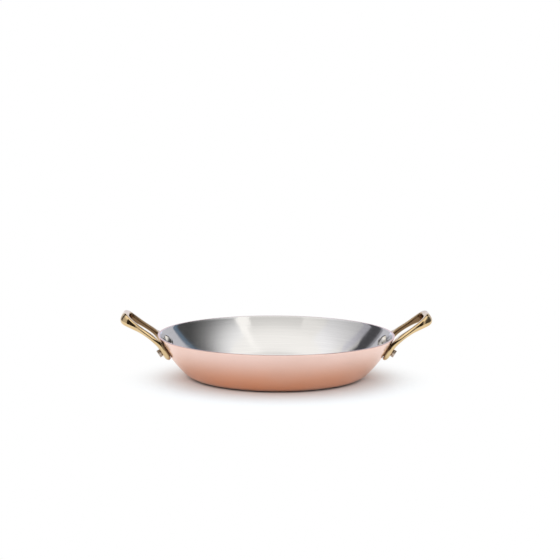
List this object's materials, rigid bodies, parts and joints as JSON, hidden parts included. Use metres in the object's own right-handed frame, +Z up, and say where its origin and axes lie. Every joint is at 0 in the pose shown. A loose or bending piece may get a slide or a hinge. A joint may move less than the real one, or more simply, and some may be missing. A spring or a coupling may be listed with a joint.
{
  "type": "round copper baking dish",
  "caption": "Shallow round copper dish with flared walls, a brushed steel lining and cast brass loop handles riveted on either side, for baking and serving",
  "frame": {"origin": "centre of the underside, at the middle of the overall box's bottom face", "axes": "+Z up through the dish's axis; +X along the line through both handles, toward the right handle; +Y away from the viewer of the picture"},
  "size_m": [0.2618, 0.2, 0.0545],
  "materials": {
    "shell_copper": "satin-polished copper",
    "lining_steel": "brushed round the dish's axis",
    "handle_brass": "cast and polished",
    "rivet_steel": "polished"
  },
  "bodies": {
    "root": {"copper_shell": "shell_copper", "steel_lining": "lining_steel", "right_handle": "handle_brass", "left_handle": "handle_brass", "right_rear_rivet": "rivet_steel", "right_front_rivet": "rivet_steel", "left_rear_rivet": "rivet_steel", "left_front_rivet": "rivet_steel"}
  },
  "joints": []
}
